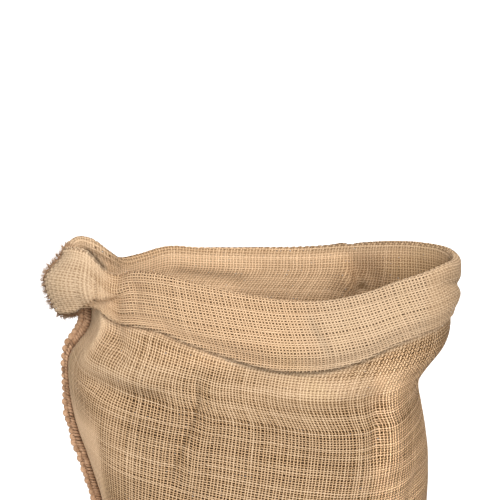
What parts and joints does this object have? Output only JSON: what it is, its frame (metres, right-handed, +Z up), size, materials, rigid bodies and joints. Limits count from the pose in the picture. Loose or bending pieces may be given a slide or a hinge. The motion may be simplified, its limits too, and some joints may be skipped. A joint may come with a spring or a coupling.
{
  "type": "burlap sack",
  "caption": "Open standing sack of coarse plain-weave jute, its mouth turned outwards into a soft cuff, with an overlocked side seam.",
  "frame": {"origin": "centre of the footprint on the floor, midway across the whole sack's width and depth", "axes": "+Z up, out of the mouth; the front, where the rim dips lowest, faces -Y; the stitched side seam and the turned corner of the cuff are at -X"},
  "size_m": [0.4432, 0.2454, 0.6483],
  "materials": {
    "jute_cloth": "open plain weave of coarse tan jute yarn, matt and hairy",
    "jute_twine": "brown two-ply jute twine in overlock loops, matt",
    "frayed_twine": "brown jute twine and thread ends, frayed, matt"
  },
  "bodies": {
    "root": {"sack_cloth": "jute_cloth", "side_seam": "jute_twine", "ear_seam": "frayed_twine", "bottom_seam": "jute_twine"}
  },
  "joints": []
}
